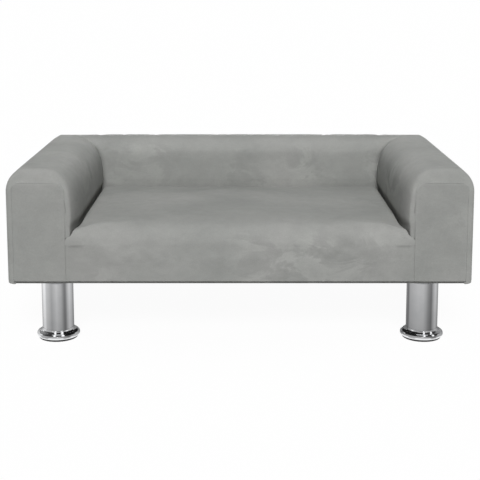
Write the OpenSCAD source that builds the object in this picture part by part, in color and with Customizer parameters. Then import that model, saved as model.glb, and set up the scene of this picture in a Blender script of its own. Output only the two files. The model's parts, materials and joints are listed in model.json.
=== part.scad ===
// Low sofa bed for a dog: padded velvet body with two arms and a back, on four chrome tube legs.
// Origin on the floor under the middle of the body, front towards -Y, up +Z, millimetres.

/* [Body] */
// Width of the body over both arms
body_w = 700; // [640:10:860]
// Depth of the body, front panel to rear panel
body_d = 400; // [360:10:520]
// Height of the padded body, underside to the crest of the arms
body_h = 176; // [164:2:210]
// Height of the underside above the floor
leg_h = 92; // [70:1:140]

/* [Arms] */
// Width of an arm at its fullest
arm_w = 107; // [100:1:130]
// Radius of the outer top edge of an arm
arm_outer_r = 36; // [32:1:42]
// Radius of the inner top roll of an arm
arm_inner_r = 50; // [40:1:56]
// Depth over which the front edges of an arm are rounded
front_edge_y = 18; // [14:1:22]
// Distance of the front panel's seam below the crest
seam_top_in = 24; // [16:1:28]
// Distance of the front panel's seam from the outer side
seam_outer_in = 12; // [8:1:16]
// Distance of the front panel's seam from the inner side
seam_inner_in = 19.6; // [16:0.2:22]
// How far the inner side of an arm is drawn in at its front edge
front_inner_in = 11.5; // [8:0.5:13]
// Corner radius of the front panel at its inner top corner
panel_corner_r = 20; // [14:1:24]

/* [Back] */
// Thickness of the back at the height of the seat
back_t = 76; // [70:1:90]
// Fullness of the back's inner face
back_bulge = 2; // [0.5:0.5:5]
// Depth over which the top rear edge is rounded
rear_edge_y = 36; // [30:1:40]
// Drop of the rear panel's seam below the crest
rear_top_in = 30; // [24:1:31]
// Distance of the rear panel's seam from the sides
rear_side_in = 15; // [10:1:20]

/* [Seat] */
// Height of the seat above the underside
seat_h = 89; // [82:1:100]
// Rise of the middle of the seat
seat_crown = 3; // [1:0.5:8]
// Radius of the seat's front roll
seat_roll_r = 22; // [16:1:28]
// Width of the rounded side edge beside an arm
seat_edge_w = 8; // [6:0.5:12]
// Drop of the seat's side edge into the crease
seat_edge_d = 5; // [3:0.5:8]
// Radius of the seat's rear edge
seat_rear_r = 6; // [4:0.5:9]

/* [Upholstery] */
// Thickness of the velvet with its backing
velvet_t = 1.5; // [1:0.1:2.2]
// Width of the velvet turned under the body
underwrap_w = 25; // [18:1:28]
// Radius of the folded lower edge
hem_r = 3; // [2.5:0.5:5]
// Thickness of the dust cover
dust_t = 0.8; // [0.5:0.1:1.5]
// Foam on the outer sides of the arms
side_pad_t = 7.2; // [6:0.2:10]
// Foam behind the front panels and the apron
front_pad_t = 9.2; // [7:0.2:12]
// Foam on the rear face
rear_pad_t = 12.2; // [11:0.2:14]
// Foam on the top of the arms and the back
top_pad_t = 21.2; // [16:0.2:26]
// Foam on the inner side of an arm
arm_pad_t = 23.2; // [18:0.2:28]
// Foam on the inner face of the back
back_pad_t = 15.2; // [12:0.2:20]

/* [Frame] */
// Thickness of the base panel
base_t = 12; // [9:1:15]
// Thickness of the boards of the arms and the back
board_t = 9; // [6:1:12]
// Width of the rails under the seat deck
rail_w = 18; // [15:1:22]
// Height of the rails
rail_h = 36; // [30:1:42]
// Thickness of the seat deck
deck_t = 6; // [4:1:9]

/* [Legs] */
// Outer diameter of a leg tube
tube_d = 48; // [38:1:52]
// Wall of a leg tube
tube_wall = 1.5; // [1:0.1:3]
// Distance of a leg's axis from the side of the body
leg_inset_x = 70; // [58:1:100]
// Distance of a leg's axis from the front and the rear of the body
leg_inset_y = 37; // [36:1:60]
// Thickness of a leg's top plate
plate_t = 3; // [2:0.5:5]
// How far the foot's rim stands out past the tube
rim_out = 8.7; // [6:0.1:11]
// Height of the foot's upper face against the tube
foot_h = 17; // [15:0.5:22]
// Height of the middle of the foot's round rim
rim_z = 6.8; // [6:0.2:8]
// Radius of the rim's rounding
rim_r = 4.6; // [4:0.2:5]
// Thickness of the black glide
glide_t = 2.2; // [1.6:0.2:3]

/* [Fasteners] */
// Thread diameter of a leg bolt
bolt_d = 8; // [6:1:10]
// Length of a leg bolt under its head
bolt_l = 24; // [20:1:26]
// Diameter of a tee nut's flange
tee_d = 22; // [18:1:23]
// Length of a base screw
base_screw_l = 34; // [26:1:38]
// Length of a deck screw
deck_screw_l = 25; // [18:1:30]
// Shank diameter of the wood screws
screw_d = 4; // [3:0.5:5]

/* [Clearances] */
// Gap between two covers at a seam or crease
seam_gap = 0.3; // [0.2:0.05:0.6]
// Gap between a cover and the foam under it
layer_gap = 0.3; // [0.2:0.05:0.6]
// Gap in the crease beside an arm
crease_gap = 1; // [1:0.1:1.6]
// Height of the tucked-in edges above the apron
tuck_gap = 1; // [0.8:0.1:3]
// Gap between the foam of the back and an arm's cover
foam_end_gap = 4; // [3.5:0.5:8]
// Radial gap round a bolt or a screw in its hole
hole_gap = 0.2; // [0.1:0.05:0.5]
// Radial gap of the foot's spigot in the tube
spigot_gap = 0.2; // [0.1:0.05:0.4]

/* [Hidden] */
sides = ["left", "right"];
corners = ["front_left", "front_right", "rear_left", "rear_right"];
leg_kinds = ["leg_tube", "leg_plate", "foot_ring", "glide"];
arm_kinds = [
    "arm_outer_panel", "arm_inner_panel", "arm_top_board", "arm_front_board", "arm_rear_board",
    "arm_foam", "arm_front_foam", "arm_rear_foam", "arm_cover", "arm_front_cover"
];

$fn = 64;
velvet_colour = [0.58, 0.585, 0.57];
foam_colour = [0.93, 0.90, 0.78];
wood_colour = [0.80, 0.66, 0.46];
chrome_colour = [0.82, 0.83, 0.85];
steel_colour = [0.62, 0.64, 0.66];
dark_colour = [0.07, 0.07, 0.07];

// Overrun of every cut past the face it opens
cut = 1;

// Outer planes of the body
half_w = body_w / 2;
half_d = body_d / 2;
crest_z = leg_h + body_h;
hem_z = leg_h + dust_t;
seat_z = leg_h + seat_h;
apron_z = seat_z - seat_roll_r;
tuck_z = apron_z + tuck_gap;
inner_x = half_w - arm_w;
back_y = half_d - back_t;
foam_in = velvet_t + layer_gap;

// Centres of the rounded edges
front_c = -half_d + front_edge_y;
rear_c = half_d - rear_edge_y;
back_front_r = back_t - rear_edge_y;
outer_cx = half_w - arm_outer_r;
outer_cz = crest_z - arm_outer_r;
roll_cx = inner_x + arm_inner_r;
roll_cz = crest_z - arm_inner_r;
panel_seam_x = inner_x + seam_inner_in;

// Faces of the wooden frame
base_z = hem_z + velvet_t;
board_z = base_z + base_t;
deck_z = board_z + rail_h;
deck_top = deck_z + deck_t;
foam_z = hem_z + hem_r;
rear_pad_top = crest_z - rear_top_in - 2 * foam_in;
frame_x = half_w - foam_in - side_pad_t;
frame_front = -half_d + foam_in + front_pad_t;
frame_rear = half_d - foam_in - rear_pad_t;
frame_top = crest_z - foam_in - top_pad_t;
frame_inner = inner_x + foam_in + arm_pad_t;
back_frame = back_y + foam_in + back_pad_t;
back_frame_x = inner_x - layer_gap;
board_top = frame_top - board_t;

// Legs and fasteners
leg_x = half_w - leg_inset_x;
leg_y = half_d - leg_inset_y;
tube_r = tube_d / 2;
tube_bore_r = tube_r - tube_wall;
plate_chamfer = 0.6;
tube_foot_z = 10;
spigot_top_z = 27;
spigot_wall = 2.4;
foot_floor_t = 2.6;
glide_in = 3.3;
glide_chamfer = 0.6;
bolt_head_af = 13;
bolt_head_t = 5.3;
tee_wall = 1.4;
tee_barrel_r = bolt_d / 2 + tee_wall;
tee_flange_t = 1.6;
tee_depth = 9;
tee_notch_gap = 3;
tee_notch_h = 9;
screw_head_r = screw_d;
screw_head_t = 2.8;
base_screw_shares = [-0.68, 0, 0.68];
deck_screw_shares = [-0.86, -0.34, 0.34, 0.86];

// Number of steps round each edge
hem_angles = [-90, -45, 0];
seam_angle = 12;
roll_steps = 7;
roll_start_angle = 1;
rear_round_steps = 3;
edge_angles = [90, 60, 30];
row_shares = [-1, -0.5, 0, 0.5, 1];
top_shares = [0, 0.25, 0.5, 0.75, 1];
face_shares = [0, 0.35, 0.7];

// Inset of an edge at angle t of its rounding: its full inset at 0, and only the layer's own at 90
function eased(full, inset, t) = full - (full - inset) * sin(t);

// Angle at which a rounding of depth r reaches the distance d from its centre
function angle_at(d, r) = acos(min(1, max(0, d / r)));

// Angles from 0 to 90 that hit the corner angle c on the way
function split_angles(c, below, above) = concat(
    [for (k = [0:below]) c * k / below],
    [for (k = [1:above]) c + (90 - c) * k / above]
);
outer_angles = split_angles(atan2(frame_top - outer_cz, frame_x - outer_cx), 3, 4);
inner_angles = split_angles(atan2(frame_top - roll_cz, roll_cx - frame_inner), 4, 4);
back_angles = split_angles(
    atan2(frame_top - crest_z + back_front_r, back_y + back_front_r - back_frame), 3, 4
);

// Angles at which the roundings pass the frame's front and rear faces, and the steps on both sides of them
front_foam_t = angle_at(front_c - frame_front, front_edge_y - foam_in);
rear_foam_t = angle_at(frame_rear - rear_c, rear_edge_y - foam_in);
front_pad_angles = [for (k = [0:3]) seam_angle + (front_foam_t - seam_angle) * k / 3];
rear_pad_angles = [for (k = [3:-1:0]) rear_foam_t * k / 3];
front_foam_angles = [for (k = [0:2]) front_foam_t + (90 - front_foam_t) * k / 2];
rear_foam_angles = [for (k = [2:-1:0]) rear_foam_t + (90 - rear_foam_t) * k / 2];

// A row of an arm: [end, angle], where end is -1 at the front and 1 at the rear
foam_rows = concat([for (t = front_foam_angles) [-1, t]], [for (t = rear_foam_angles) [1, t]]);
cover_rows = concat(
    [[-1, 0]],
    [for (k = [0:2]) [-1, front_pad_angles[k]]],
    foam_rows,
    [for (k = [1:3]) [1, rear_pad_angles[k]]]
);
function row_y(row, inset) = row[0] < 0
    ? front_c - (front_edge_y - inset) * cos(row[1])
    : rear_c + (rear_edge_y - inset) * cos(row[1]);
function row_outer(row, inset) = eased(row[0] < 0 ? seam_outer_in : rear_side_in, inset, row[1]);
function row_top(row, inset) = eased(row[0] < 0 ? seam_top_in : rear_top_in, inset, row[1]);
function row_inner(row, inset) = row[0] > 0 ? inset : eased(front_inner_in, inset, row[1]);
function is_seam(row) = row[0] < 0 && row[1] == 0;

// Outline over the top of an arm, from its outer side to its inner side, as [x, z]
function outer_arc(row, inset) = [
    for (a = outer_angles)
        [outer_cx + (arm_outer_r - row_outer(row, inset)) * cos(a),
         outer_cz + (arm_outer_r - row_top(row, inset)) * sin(a)]
];
function inner_arc(row, inset) = [
    for (k = [len(inner_angles) - 1:-1:0])
        let (a = inner_angles[k])
        [roll_cx - (arm_inner_r - row_inner(row, inset)) * cos(a),
         roll_cz + (arm_inner_r - row_top(row, inset)) * sin(a)]
];
function seam_arc(top, gap) = [
    for (k = [len(inner_angles) - 1:-1:0])
        let (a = inner_angles[k], r = panel_corner_r - gap)
        [panel_seam_x + panel_corner_r - r * cos(a),
         crest_z - top - panel_corner_r + r * sin(a)]
];

// One row of an arm's wrap, from the edge turned under the body to the edge tucked in beside the seat
function wrap_row(row, inset) =
    let (
        y = row_y(row, inset),
        y_in = min(y, half_d - foam_in),
        hem_x = half_w - row_outer(row, inset) - hem_r + inset,
        arc = is_seam(row) ? seam_arc(seam_top_in, 0) : inner_arc(row, inset),
        last_x = arc[len(arc) - 1][0]
    )
    concat(
        [[half_w - underwrap_w, y, hem_z + inset]],
        [for (a = hem_angles)
            [hem_x + (hem_r - inset) * cos(a), y, hem_z + hem_r + (hem_r - inset) * sin(a)]],
        [for (p = outer_arc(row, inset)) [p[0], y, p[1]]],
        [for (k = [0:len(arc) - 1]) [arc[k][0], k == 0 ? y : y_in, arc[k][1]]],
        [[last_x, y_in, tuck_z]]
    );

// Distance from the middle to the line that stays a gap away from an arm's inner side at height z
function arm_face_x(y, z, gap) =
    let (
        drop = y > rear_c ? rear_top_in * (1 - sin(angle_at(y - rear_c, rear_edge_y))) : 0,
        up = max(0, (z - roll_cz) / (arm_inner_r - drop + gap))
    )
    roll_cx - (arm_inner_r + gap) * sqrt(max(0, 1 - up * up));

// Half of the seat's width at depth y, where it follows the arms' rounded front edges
function seat_half_w(y) =
    inner_x - crease_gap + (y < front_c
        ? front_inner_in * (1 - sin(angle_at(front_c - y, front_edge_y)))
        : 0);

// Closed solid between two grids of points with the same rows
module sheet(outer, inner) {
    nu = len(outer);
    nv = len(outer[0]);
    n = nu * nv;
    quads = concat(
        [for (i = [0:nu - 2], j = [0:nv - 2])
            [i * nv + j, (i + 1) * nv + j, (i + 1) * nv + j + 1, i * nv + j + 1]],
        [for (i = [0:nu - 2], j = [0:nv - 2])
            [n + i * nv + j, n + i * nv + j + 1, n + (i + 1) * nv + j + 1, n + (i + 1) * nv + j]],
        [for (i = [0:nu - 2]) [n + i * nv, n + (i + 1) * nv, (i + 1) * nv, i * nv]],
        [for (i = [1:nu - 1])
            [i * nv - 1, (i + 1) * nv - 1, n + (i + 1) * nv - 1, n + i * nv - 1]],
        [for (j = [0:nv - 2]) [j, j + 1, n + j + 1, n + j]],
        [for (j = [0:nv - 2]) [2 * n - nv + j, 2 * n - nv + j + 1, n - nv + j + 1, n - nv + j]]
    );
    polyhedron(
        points = concat([for (row = outer) each row], [for (row = inner) each row]),
        faces = [for (q = quads) each [[q[2], q[1], q[0]], [q[3], q[2], q[0]]]]
    );
}

// Closed solid through a stack of closed loops, with a middle point at each end
module loft(loops, first_mid, last_mid) {
    nu = len(loops);
    nv = len(loops[0]);
    n = nu * nv;
    sides_t = [for (i = [0:nu - 2], j = [0:nv - 1])
        let (k = (j + 1) % nv)
        each [[i * nv + j, (i + 1) * nv + k, (i + 1) * nv + j], [i * nv + j, i * nv + k, (i + 1) * nv + k]]];
    ends_t = [for (j = [0:nv - 1])
        let (k = (j + 1) % nv)
        each [[n, k, j], [n + 1, n - nv + j, n - nv + k]]];
    polyhedron(
        points = concat([for (loop = loops) each loop], [first_mid, last_mid]),
        faces = concat(sides_t, ends_t)
    );
}

// Box between two corners
module block(low, high) {
    translate(low) cube([for (k = [0:2]) high[k] - low[k]]);
}

// The child as drawn for the right side, or mirrored for the left
module on_side(side) {
    mirror([side == "left" ? 1 : 0, 0, 0]) children();
}

// The child at one leg, drawn for the axis at the origin
module at_corner(corner) {
    x = corner == "front_left" || corner == "rear_left" ? -leg_x : leg_x;
    y = corner == "front_left" || corner == "front_right" ? -leg_y : leg_y;
    translate([x, y, 0]) children();
}

module at_legs() {
    for (corner = corners) at_corner(corner) children();
}

// Screw places along the front and the rear rail
module along_rails(shares) {
    for (y = [frame_front + rail_w / 2, back_frame - rail_w / 2], share = shares)
        translate([share * frame_inner, y, 0]) children();
}

// Wooden frame
module base_panel() {
    color(wood_colour)
    difference() {
        block([-frame_x, frame_front, base_z], [frame_x, frame_rear, board_z]);
        at_legs()
            translate([0, 0, base_z - cut])
                cylinder(h = base_t + 2 * cut, r = tee_barrel_r + hole_gap);
        along_rails(base_screw_shares) translate([0, 0, base_z]) screw_hole(base_t);
    }
}

module rail(low, high, deck_shares, base_shares) {
    color(wood_colour)
    difference() {
        block(low, high);
        along_rails(base_shares)
            translate([0, 0, board_z - cut])
                cylinder(h = base_screw_l - base_t + cut + hole_gap, d = screw_d + 2 * hole_gap);
        along_rails(deck_shares)
            translate([0, 0, deck_top - deck_screw_l - hole_gap])
                cylinder(h = deck_screw_l, d = screw_d + 2 * hole_gap);
    }
}

module front_rail() {
    rail(
        [-frame_inner, frame_front, board_z], [frame_inner, frame_front + rail_w, deck_z],
        deck_screw_shares, base_screw_shares
    );
}

module rear_rail() {
    rail(
        [-frame_inner, back_frame - rail_w, board_z], [frame_inner, back_frame, deck_z],
        deck_screw_shares, base_screw_shares
    );
}

module centre_rail() {
    color(wood_colour)
    block(
        [-rail_w / 2, frame_front + rail_w, board_z],
        [rail_w / 2, back_frame - rail_w, deck_z]
    );
}

module seat_deck() {
    color(wood_colour)
    difference() {
        block([-frame_inner, frame_front, deck_z], [frame_inner, back_frame, deck_top]);
        along_rails(deck_screw_shares) translate([0, 0, deck_top]) mirror([0, 0, 1]) screw_hole(deck_t);
    }
}

module arm_board(low, high) {
    color(wood_colour) block(low, high);
}

module arm_outer_panel() {
    arm_board(
        [frame_x - board_t, frame_front + board_t, board_z],
        [frame_x, frame_rear - board_t, board_top]
    );
}

// The inner panel stands over the tee nuts on notches in its lower edge
module arm_inner_panel() {
    notch_r = tee_d / 2 + tee_notch_gap;
    difference() {
        arm_board(
            [frame_inner, frame_front + board_t, board_z],
            [frame_inner + board_t, frame_rear - board_t, board_top]
        );
        for (y = [-leg_y, leg_y])
            block(
                [frame_inner - cut, y - notch_r, board_z - cut],
                [frame_inner + board_t + cut, y + notch_r, board_z + tee_notch_h]
            );
    }
}

module arm_top_board() {
    arm_board([frame_inner, frame_front, board_top], [frame_x, frame_rear, frame_top]);
}

module arm_front_board() {
    arm_board([frame_inner, frame_front, board_z], [frame_x, frame_front + board_t, board_top]);
}

module arm_rear_board() {
    arm_board([frame_inner, frame_rear - board_t, board_z], [frame_x, frame_rear, board_top]);
}

// Panel of the back, with shoulders that reach the arms' inner panels below the deck
module back_panel(y) {
    color(wood_colour)
    union() {
        block([-frame_inner, y, board_z], [frame_inner, y + board_t, deck_top]);
        block([-back_frame_x, y, deck_top - cut], [back_frame_x, y + board_t, board_top]);
    }
}

module back_inner_panel() {
    back_panel(back_frame);
}

module back_outer_panel() {
    back_panel(frame_rear - board_t);
}

module back_top_board() {
    color(wood_colour)
    block([-back_frame_x, back_frame, board_top], [back_frame_x, frame_rear, frame_top]);
}

// Foam
// Point on the frame's box in the direction a from an arc's centre at [0, 0]
function box_reach(w, h, a) =
    let (far = min(w / max(cos(a), 0.001), h / max(sin(a), 0.001)))
    [far * cos(a), far * sin(a)];

function arm_foam_row(row) =
    let (y = row_y(row, foam_in), outer = outer_arc(row, foam_in), inner = inner_arc(row, foam_in))
    concat(
        [[outer[0][0], y, foam_z]],
        [for (p = concat(outer, inner)) [p[0], y, p[1]]],
        [[inner[len(inner) - 1][0], y, deck_top + layer_gap]]
    );

function arm_core_row(row) =
    let (
        y = row_y(row, foam_in),
        w = frame_x - outer_cx,
        h = frame_top - outer_cz,
        v = roll_cx - frame_inner,
        g = frame_top - roll_cz
    )
    concat(
        [[frame_x, y, foam_z]],
        [for (a = outer_angles) let (p = box_reach(w, h, a)) [outer_cx + p[0], y, outer_cz + p[1]]],
        [for (k = [len(inner_angles) - 1:-1:0])
            let (p = box_reach(v, g, inner_angles[k])) [roll_cx - p[0], y, roll_cz + p[1]]],
        [[frame_inner, y, deck_top + layer_gap]]
    );

module arm_foam() {
    color(foam_colour)
    sheet([for (row = foam_rows) arm_foam_row(row)], [for (row = foam_rows) arm_core_row(row)]);
}

// Loop round the pad behind an arm's front panel, stepped in below where the apron passes
function front_pad_loop(t) =
    let (
        row = [-1, t],
        y = row_y(row, foam_in),
        outer = outer_arc(row, foam_in),
        inner = inner_arc(row, foam_in),
        low_x = panel_seam_x + layer_gap
    )
    concat(
        [[outer[0][0], y, foam_z]],
        [for (p = concat(outer, inner)) [p[0], y, p[1]]],
        [[inner[len(inner) - 1][0], y, tuck_z], [low_x, y, tuck_z], [low_x, y, foam_z]]
    );

module arm_front_foam() {
    loops = [for (t = front_pad_angles) front_pad_loop(t)];
    color(foam_colour)
    loft(loops, [roll_cx, loops[0][0][1], roll_cz], [roll_cx, frame_front, roll_cz]);
}

// Path of the back's surface as [y, z], from low on its inner face over the top
function back_face(inset, low_z) = [
    for (s = concat([low_z], [for (s = face_shares) seat_z + s * (crest_z - back_front_r - seat_z)]))
        let (rise = max(0, (s - seat_z) / (crest_z - back_front_r - seat_z)))
        [back_y + inset - back_bulge * sin(180 * rise), s]
];
function back_roll(inset) = [
    for (a = back_angles)
        [back_y + back_front_r - (back_front_r - inset) * cos(a),
         crest_z - back_front_r + (back_front_r - inset) * sin(a)]
];
function back_rear(inset, angles) = [
    for (t = angles)
        [rear_c + (rear_edge_y - inset) * cos(t), crest_z - rear_top_in + (rear_top_in - inset) * sin(t)]
];
back_foam_angles = [rear_foam_angles[1], rear_foam_t];
back_cover_angles = concat(back_foam_angles, [for (k = [1:3]) rear_pad_angles[k]]);

function spread(path, gap) = [
    for (share = row_shares) [for (p = path) [share * arm_face_x(p[0], p[1], gap), p[0], p[1]]]
];

// The foam of the back also fills the rounding above the rear pad
module back_foam() {
    surface = concat(
        back_face(foam_in, deck_top + layer_gap), back_roll(foam_in), back_rear(foam_in, back_cover_angles)
    );
    over_w = back_y + back_front_r - back_frame;
    over_h = frame_top - crest_z + back_front_r;
    last = len(surface) - 1;
    core = concat(
        [for (k = [0:len(face_shares)]) [back_frame, surface[k][1]]],
        [for (a = back_angles)
            let (p = box_reach(over_w, over_h, a))
            [back_y + back_front_r - p[0], crest_z - back_front_r + p[1]]],
        [[surface[last - 4][0], frame_top], [frame_rear, frame_top]],
        [[frame_rear, (frame_top + rear_pad_top) / 2], [frame_rear, rear_pad_top + layer_gap]],
        [[half_d - foam_in, rear_pad_top + layer_gap]]
    );
    color(foam_colour) sheet(spread(surface, foam_end_gap), spread(core, foam_end_gap));
}

module rear_foam() {
    pad_x = inner_x - foam_in;
    color(foam_colour)
    block([-pad_x, frame_rear, foam_z], [pad_x, half_d - foam_in, rear_pad_top]);
}

// Loop round the pad on the rear end of an arm
function rear_pad_loop(t) =
    let (
        row = [1, t],
        y = row_y(row, foam_in),
        outer = outer_arc(row, foam_in),
        inner = inner_arc(row, foam_in)
    )
    concat(
        [[outer[0][0], y, foam_z]],
        [for (p = concat(outer, inner)) [p[0], y, p[1]]],
        [[inner[len(inner) - 1][0], y, foam_z]]
    );

module arm_rear_foam() {
    color(foam_colour)
    loft(
        [for (t = rear_pad_angles) rear_pad_loop(t)],
        [roll_cx, frame_rear, seat_z], [roll_cx, half_d - foam_in, seat_z]
    );
}

// Seat: a path of [y, z, normal y, normal z, side edge] from the front's lower edge over the top rearwards
function seat_roll(inset) = [
    for (k = [0:roll_steps])
        let (a = max(roll_start_angle, 90 * k / roll_steps))
        [-half_d + seat_roll_r - (seat_roll_r - inset) * cos(a),
         apron_z + (seat_roll_r - inset) * sin(a), -cos(a), sin(a), sin(a)]
];
function seat_top(inset) = [
    for (k = [1:len(top_shares) - 1])
        let (y0 = -half_d + seat_roll_r, y1 = back_y - seam_gap - seat_rear_r)
        [y0 + (y1 - y0) * top_shares[k], seat_z - inset, 0, 1, 1]
];
function seat_rear(inset) = [
    for (k = [1:rear_round_steps])
        let (a = 90 * k / rear_round_steps, r = seat_rear_r - inset)
        [back_y - seam_gap - seat_rear_r + r * sin(a), seat_z - seat_rear_r + r * cos(a), 0, 1, 1]
];
function seat_over(inset) = concat(seat_roll(inset), seat_top(inset), seat_rear(inset));

function seat_path(inset) = concat(
    [[-half_d + underwrap_w, hem_z + inset, 0, 0, 0]],
    [for (a = hem_angles)
        [-half_d + hem_r - (hem_r - inset) * cos(a), hem_z + hem_r + (hem_r - inset) * sin(a), 0, 0, 0]],
    [[-half_d + inset, apron_z, 0, 0, 0]],
    seat_over(inset)
);

// Rise of the seat's crown at a point, none at the front, the rear and the sides
function crown(x, y, w) =
    let (
        y0 = -half_d + seat_roll_r,
        y1 = back_y - seat_rear_r,
        u = (2 * y - y0 - y1) / (y1 - y0)
    )
    seat_crown * max(0, 1 - u * u) * max(0, 1 - (x / w) * (x / w));

function seat_point(p, share, t, inset) =
    let (
        drop = p[4] * (seat_edge_d - inset) * (1 - cos(t)),
        w = p[4] > 0 ? seat_half_w(p[0] - p[2] * drop) : panel_seam_x - seam_gap,
        x = share * (w - seat_edge_w + (seat_edge_w - inset) * sin(t))
    )
    [x, p[0] - p[2] * drop, p[1] - p[3] * drop + p[4] * crown(x, p[0], w)];

function seat_grid(path, inset) = concat(
    [for (t = edge_angles) [for (p = path) seat_point(p, -1, t, inset)]],
    [for (share = row_shares) [for (p = path) seat_point(p, share, 0, inset)]],
    [for (k = [len(edge_angles) - 1:-1:0]) [for (p = path) seat_point(p, 1, edge_angles[k], inset)]]
);

module seat_foam() {
    over = seat_over(foam_in);
    low_z = foam_z;
    surface = concat(
        [[-half_d + foam_in, low_z, 0, 0, 0], [-half_d + foam_in, apron_z, 0, 0, 0]], over
    );
    outer = seat_grid(surface, foam_in);
    roll_end = -half_d + seat_roll_r;
    inner = [for (row = outer)
        [for (j = [0:len(row) - 1])
            let (
                k = j - 2,
                y = k < 1 ? frame_front
                    : k <= roll_steps ? frame_front + (roll_end - frame_front) * k / roll_steps
                    : over[k][0],
                share = k < 0 ? 1 : (seat_half_w(y) - foam_in) / (seat_half_w(row[j][1]) - foam_in)
            )
            [share * row[j][0], y, j == 0 ? low_z : j == 1 ? deck_z : deck_top]]];
    color(foam_colour) sheet(outer, inner);
}

// Covers
module seat_cover() {
    color(velvet_colour)
    sheet(seat_grid(seat_path(0), 0), seat_grid(seat_path(velvet_t), velvet_t));
}

module arm_cover() {
    color(velvet_colour)
    sheet([for (row = cover_rows) wrap_row(row, 0)], [for (row = cover_rows) wrap_row(row, velvet_t)]);
}

module back_cover() {
    outer = concat(back_face(0, tuck_z), back_roll(0), back_rear(0, back_cover_angles));
    inner = concat(back_face(velvet_t, tuck_z), back_roll(velvet_t), back_rear(velvet_t, back_cover_angles));
    color(velvet_colour) sheet(spread(outer, crease_gap), spread(inner, crease_gap));
}

// Outline of an arm's front panel inside its seam, as [x, z]
function front_panel_outline() =
    let (
        left_x = panel_seam_x + seam_gap,
        right_x = half_w - seam_outer_in - seam_gap,
        rx = arm_outer_r - seam_outer_in - seam_gap,
        rz = arm_outer_r - seam_top_in - seam_gap
    )
    concat(
        [[left_x, hem_z], [right_x, hem_z]],
        [for (a = outer_angles) [outer_cx + rx * cos(a), outer_cz + rz * sin(a)]],
        seam_arc(seam_top_in, seam_gap)
    );

module arm_front_cover() {
    color(velvet_colour)
    union() {
        translate([0, -half_d + velvet_t, 0]) rotate([90, 0, 0])
            linear_extrude(velvet_t) polygon(front_panel_outline());
        block(
            [panel_seam_x + seam_gap, -half_d, hem_z],
            [half_w - underwrap_w - seam_gap, -half_d + underwrap_w, hem_z + velvet_t]
        );
    }
}

// Outline of the rear panel inside its seam, as [x, z]
function rear_panel_outline() =
    let (
        rx = arm_outer_r - rear_side_in - seam_gap,
        rz = arm_outer_r - rear_top_in - seam_gap,
        half = concat(
            [[half_w - rear_side_in - seam_gap, hem_z]],
            [for (a = outer_angles) [outer_cx + rx * cos(a), outer_cz + rz * sin(a)]]
        )
    )
    concat(half, [for (k = [len(half) - 1:-1:0]) [-half[k][0], half[k][1]]]);

module rear_cover() {
    hem_x = half_w - underwrap_w - seam_gap;
    color(velvet_colour)
    union() {
        translate([0, half_d, 0]) rotate([90, 0, 0])
            linear_extrude(velvet_t) polygon(rear_panel_outline());
        block([-hem_x, half_d - underwrap_w, hem_z], [hem_x, half_d, hem_z + velvet_t]);
    }
}

module dust_cover() {
    color(dark_colour)
    difference() {
        block([-frame_x, frame_front, leg_h], [frame_x, frame_rear, hem_z]);
        at_legs()
            translate([0, 0, leg_h - cut])
                cylinder(h = dust_t + 2 * cut, d = bolt_d + 4 * hole_gap);
    }
}

// Legs, drawn on their own axis
module leg_tube() {
    tube_top = leg_h - plate_t;
    color(chrome_colour)
    translate([0, 0, tube_foot_z])
        difference() {
            cylinder(h = tube_top - tube_foot_z, r = tube_r);
            translate([0, 0, -cut]) cylinder(h = tube_top - tube_foot_z + 2 * cut, r = tube_bore_r);
        }
}

module leg_plate() {
    bore_r = bolt_d / 2 + hole_gap;
    color(steel_colour)
    translate([0, 0, leg_h - plate_t])
        rotate_extrude()
            polygon([
                [bore_r, 0], [tube_r, 0], [tube_r, plate_t - plate_chamfer],
                [tube_r - plate_chamfer, plate_t], [bore_r, plate_t]
            ]);
}

// Foot ring: round rim, concave upper face, and a spigot that stands up inside the tube
module foot_ring() {
    rim_x = tube_r + rim_out;
    collar_r = tube_r + spigot_gap;
    spigot_r = tube_bore_r - spigot_gap;
    top_z = rim_z + rim_r;
    face_x = rim_x - rim_r;
    rim = [for (a = [-60:15:90]) [face_x + rim_r * cos(a), rim_z + rim_r * sin(a)]];
    hollow = [for (k = [1:5])
        let (a = 90 * k / 5)
        [face_x - (face_x - collar_r) * sin(a), foot_h - (foot_h - top_z) * cos(a)]];
    color(chrome_colour)
    rotate_extrude()
        polygon(concat(
            [[0, glide_t], [face_x, glide_t]],
            rim,
            hollow,
            [
                [collar_r, tube_foot_z], [spigot_r, tube_foot_z], [spigot_r, spigot_top_z],
                [spigot_r - spigot_wall, spigot_top_z],
                [spigot_r - spigot_wall, glide_t + foot_floor_t], [0, glide_t + foot_floor_t]
            ]
        ));
}

module glide() {
    r = tube_r + rim_out - glide_in;
    color(dark_colour)
    rotate_extrude()
        polygon([[0, 0], [r - glide_chamfer, 0], [r, glide_chamfer], [r, glide_t], [0, glide_t]]);
}

// Fasteners
module leg_bolts() {
    head_top = leg_h - plate_t;
    color(steel_colour)
    at_legs()
        union() {
            translate([0, 0, head_top - bolt_head_t])
                cylinder(h = bolt_head_t, d = bolt_head_af / cos(30), $fn = 6);
            translate([0, 0, head_top - bolt_head_t / 2])
                cylinder(h = bolt_l + bolt_head_t / 2, d = bolt_d);
        }
}

module tee_nuts() {
    color(steel_colour)
    at_legs()
        difference() {
            union() {
                translate([0, 0, board_z]) cylinder(h = tee_flange_t, d = tee_d);
                translate([0, 0, board_z - tee_depth])
                    cylinder(h = tee_depth + tee_flange_t / 2, r = tee_barrel_r);
            }
            translate([0, 0, board_z - tee_depth - cut])
                cylinder(h = tee_depth + tee_flange_t + 2 * cut, d = bolt_d + 2 * hole_gap);
        }
}

// Countersunk hole that opens downwards at the origin, through a board of thickness t
module screw_hole(t) {
    translate([0, 0, -cut]) cylinder(h = t + 2 * cut, d = screw_d + 2 * hole_gap);
    cylinder(h = screw_head_t + hole_gap, r1 = screw_head_r + hole_gap, r2 = screw_d / 2 + hole_gap);
}

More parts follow.
